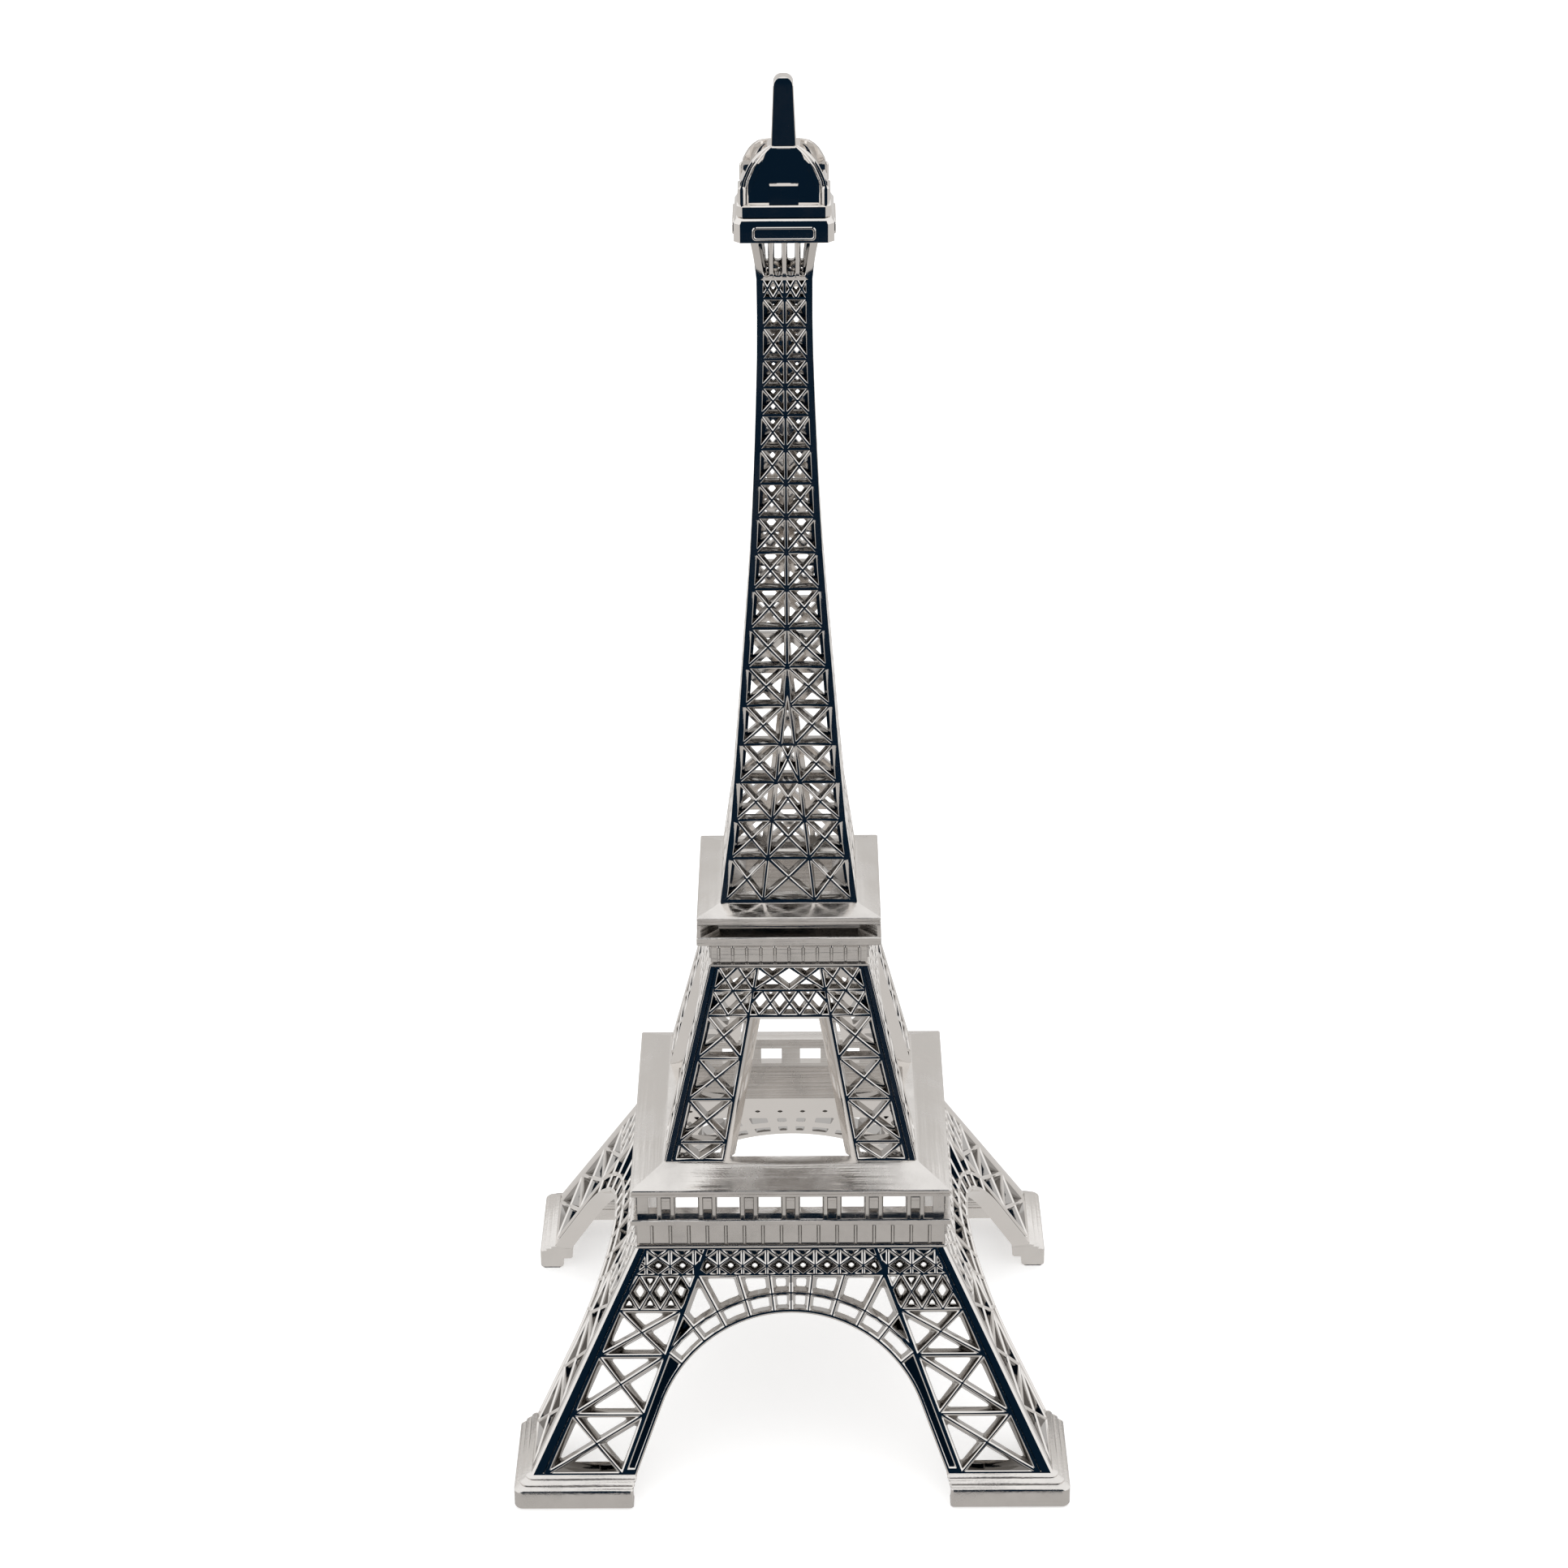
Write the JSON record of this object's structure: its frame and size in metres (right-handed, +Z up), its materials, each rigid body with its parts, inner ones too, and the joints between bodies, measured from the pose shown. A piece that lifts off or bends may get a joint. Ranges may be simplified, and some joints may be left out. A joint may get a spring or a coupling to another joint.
{
  "type": "miniature landmark model",
  "caption": "Free-standing souvenir model of an open lattice tower on arched legs, with square platforms, a slender spire, a domed cabin and a mast.",
  "frame": {"origin": "centre of the footprint, on the surface the four feet stand on", "axes": "+Z up along the tower's axis, -Y towards the front side; all four sides are alike"},
  "size_m": [0.0998, 0.0998, 0.2486],
  "materials": {
    "plated_lattice": "bright nickel plate over cast zinc, slightly soft reflections",
    "plated_platform": "bright nickel plate over cast zinc, faint brushing and cloudy patches",
    "plated_feet": "nickel plate over cast zinc with a grainy casting skin",
    "plated_cabin": "bright nickel plate over cast zinc"
  },
  "bodies": {
    "root": {"plinth_front_left": "plated_feet", "plinth_front_right": "plated_feet", "plinth_back_right": "plated_feet", "plinth_back_left": "plated_feet", "base_panel_front": "plated_lattice", "base_panel_right": "plated_lattice", "base_panel_back": "plated_lattice", "base_panel_left": "plated_lattice", "first_fascia": "plated_platform", "gallery_panel_front": "plated_platform", "gallery_panel_right": "plated_platform", "gallery_panel_back": "plated_platform", "gallery_panel_left": "plated_platform", "first_roof": "plated_platform", "middle_panel_front": "plated_lattice", "middle_panel_right": "plated_lattice", "middle_panel_back": "plated_lattice", "middle_panel_left": "plated_lattice", "second_gallery": "plated_platform", "second_roof": "plated_platform", "spire_panel_front": "plated_lattice", "spire_panel_right": "plated_lattice", "spire_panel_back": "plated_lattice", "spire_panel_left": "plated_lattice", "cabin_base": "plated_cabin", "cabin_body": "plated_cabin", "cabin_dome": "plated_cabin", "mast": "plated_cabin"}
  },
  "joints": []
}
